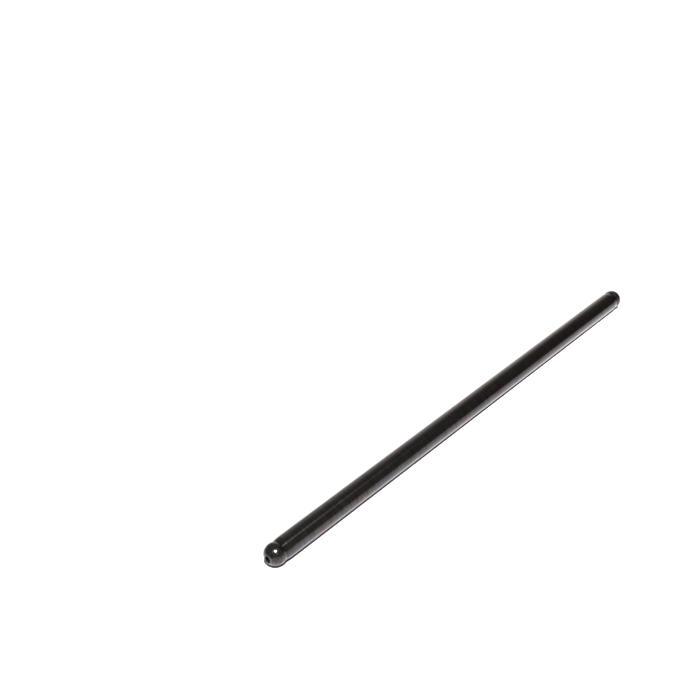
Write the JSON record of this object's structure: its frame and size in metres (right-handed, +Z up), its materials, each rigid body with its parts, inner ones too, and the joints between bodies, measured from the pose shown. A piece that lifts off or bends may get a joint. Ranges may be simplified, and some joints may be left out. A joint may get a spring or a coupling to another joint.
{
  "type": "engine pushrod",
  "caption": "Straight steel tube whose swaged ends form drilled balls, carrying valve lift and oil from a lifter to a rocker arm.",
  "frame": {"origin": "centre of the ball that sits in the lifter", "axes": "+X along the rod's axis towards the rocker arm's ball, +Z up as the rod lies on a flat surface"},
  "size_m": [0.2197, 0.008, 0.008],
  "materials": {
    "black_oxide_steel": "ground steel with a glossy black oxide coat"
  },
  "bodies": {
    "root": {"pushrod": "black_oxide_steel"}
  },
  "joints": []
}
